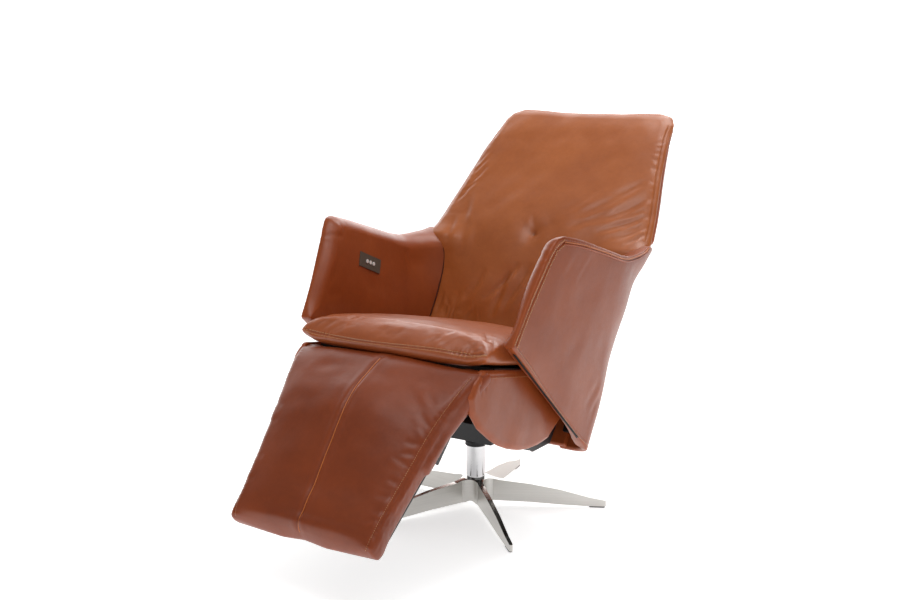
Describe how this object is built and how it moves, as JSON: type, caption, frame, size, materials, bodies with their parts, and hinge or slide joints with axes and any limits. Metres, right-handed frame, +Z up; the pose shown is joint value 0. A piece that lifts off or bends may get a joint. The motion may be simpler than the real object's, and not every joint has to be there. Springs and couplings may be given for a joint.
{
  "type": "recliner armchair",
  "caption": "Leather power relax armchair: a wing-shaped back and arm shell, seat cushion and folding footrest on a swivel star base.",
  "frame": {"origin": "on the floor at the swivel axis", "axes": "+Z up, the chair faces -Y, +X to the sitter's left"},
  "size_m": [0.72, 1.3563, 1.0079],
  "materials": {
    "leather": "semi-aniline, satin",
    "satin_steel": "satin brushed",
    "polished": "polished",
    "black_metal": "black powder coat",
    "black_plastic": "matte",
    "pewter": "satin pewter",
    "birch_ply": "raw plywood",
    "zip_tape": "woven tape"
  },
  "bodies": {
    "base": {"star_base": "satin_steel", "glide_pads": "black_plastic", "column_tube": "polished", "column_bush": "black_plastic", "thrust_bearing": "satin_steel", "column_collar": "black_plastic", "base_bolt": "black_metal", "base_washer": "satin_steel"},
    "seat_unit": {"swivel_spindle": "satin_steel", "spindle_clip": "black_metal", "swivel_plate": "black_metal", "plate_bolts": "satin_steel", "plate_nuts": "satin_steel", "cross_beam": "black_metal", "side_plate_left": "black_metal", "side_plate_right": "black_metal", "front_crossbar": "black_metal", "rear_crossbar": "black_metal", "seat_frame": "birch_ply", "seat_springs": "satin_steel", "seat_cushion": "leather", "side_panel_left": "leather", "side_panel_right": "leather", "recline_pins": "polished", "footrest_pins": "polished", "battery_box": "black_plastic", "control_box": "black_plastic", "recline_motor_pin": "polished", "footrest_motor_pin": "polished"},
    "back_shell": {"back_frame": "black_metal", "hinge_arm_left": "black_metal", "hinge_arm_right": "black_metal", "back_cushion": "leather", "rear_cover": "leather", "arm_board_left": "birch_ply", "arm_board_right": "birch_ply", "arm_pad_left": "leather", "arm_pad_right": "leather", "arm_cover_left": "leather", "arm_cover_right": "leather", "arm_zip_left": "zip_tape", "arm_zip_right": "zip_tape", "control_bezel": "pewter", "switch_module": "black_plastic", "recline_rod_pin": "polished"},
    "button_1_body": {"button_1": "polished"},
    "button_2_body": {"button_2": "polished"},
    "button_3_body": {"button_3": "polished"},
    "recline_drive": {"recline_motor": "black_plastic", "recline_tube": "satin_steel"},
    "recline_ram": {"recline_rod": "polished"},
    "footrest_drive": {"footrest_motor": "black_plastic", "footrest_tube": "satin_steel"},
    "footrest_ram": {"footrest_rod": "polished"},
    "footrest": {"footrest_pad": "leather", "footrest_board": "birch_ply", "footrest_arm_left": "black_metal", "footrest_arm_right": "black_metal", "footrest_crossbar": "black_metal", "footrest_rod_pin": "polished"}
  },
  "joints": [
    {"name": "seat_swivel", "type": "hinge", "parent": "base", "child": "seat_unit", "pos_m": [0, 0, 0.178], "axis": [0, 0, 1], "continuous": true},
    {"name": "back_recline", "type": "hinge", "parent": "seat_unit", "child": "back_shell", "pos_m": [0, 0.123, 0.368], "axis": [-1, 0, 0], "range_deg": [-20, 12]},
    {"name": "footrest_lift", "type": "hinge", "parent": "seat_unit", "child": "footrest", "pos_m": [0, -0.388, 0.45], "axis": [-1, 0, 0], "range_deg": [-28, 32]},
    {"name": "recline_motor_tilt", "type": "hinge", "parent": "seat_unit", "child": "recline_drive", "pos_m": [-0.06, -0.255, 0.37], "axis": [-1, 0, 0], "range_deg": [-0.75, 0.45]},
    {"name": "recline_rod_slide", "type": "slide", "parent": "recline_drive", "child": "recline_ram", "axis": [0, 0.9872, -0.1595], "range_m": [-0.0125, 0.0205]},
    {"name": "footrest_motor_tilt", "type": "hinge", "parent": "seat_unit", "child": "footrest_drive", "pos_m": [0.06, 0.05, 0.29], "axis": [-1, 0, 0], "range_deg": [-0.27, 0.24]},
    {"name": "footrest_rod_slide", "type": "slide", "parent": "footrest_drive", "child": "footrest_ram", "axis": [0, -0.9688, 0.2477], "range_m": [-0.024, 0.0272]},
    {"name": "button_1_press", "type": "slide", "parent": "back_shell", "child": "button_1_body", "axis": [-0.9895, -0.0744, -0.1238], "range_m": [0, 0.001], "stiffness_N_per_m": 600, "springref_m": -0.001},
    {"name": "button_2_press", "type": "slide", "parent": "back_shell", "child": "button_2_body", "axis": [-0.9895, -0.0744, -0.1238], "range_m": [0, 0.001], "stiffness_N_per_m": 600, "springref_m": -0.001},
    {"name": "button_3_press", "type": "slide", "parent": "back_shell", "child": "button_3_body", "axis": [-0.9895, -0.0744, -0.1238], "range_m": [0, 0.001], "stiffness_N_per_m": 600, "springref_m": -0.001}
  ],
  "couplings": [
    {"joint": "recline_motor_tilt", "follows": "back_recline", "ratio": 0.0346},
    {"joint": "recline_rod_slide", "follows": "back_recline", "m_per_rad": -0.0577},
    {"joint": "footrest_motor_tilt", "follows": "footrest_lift", "ratio": -0.0076},
    {"joint": "footrest_rod_slide", "follows": "footrest_lift", "m_per_rad": 0.0476}
  ]
}
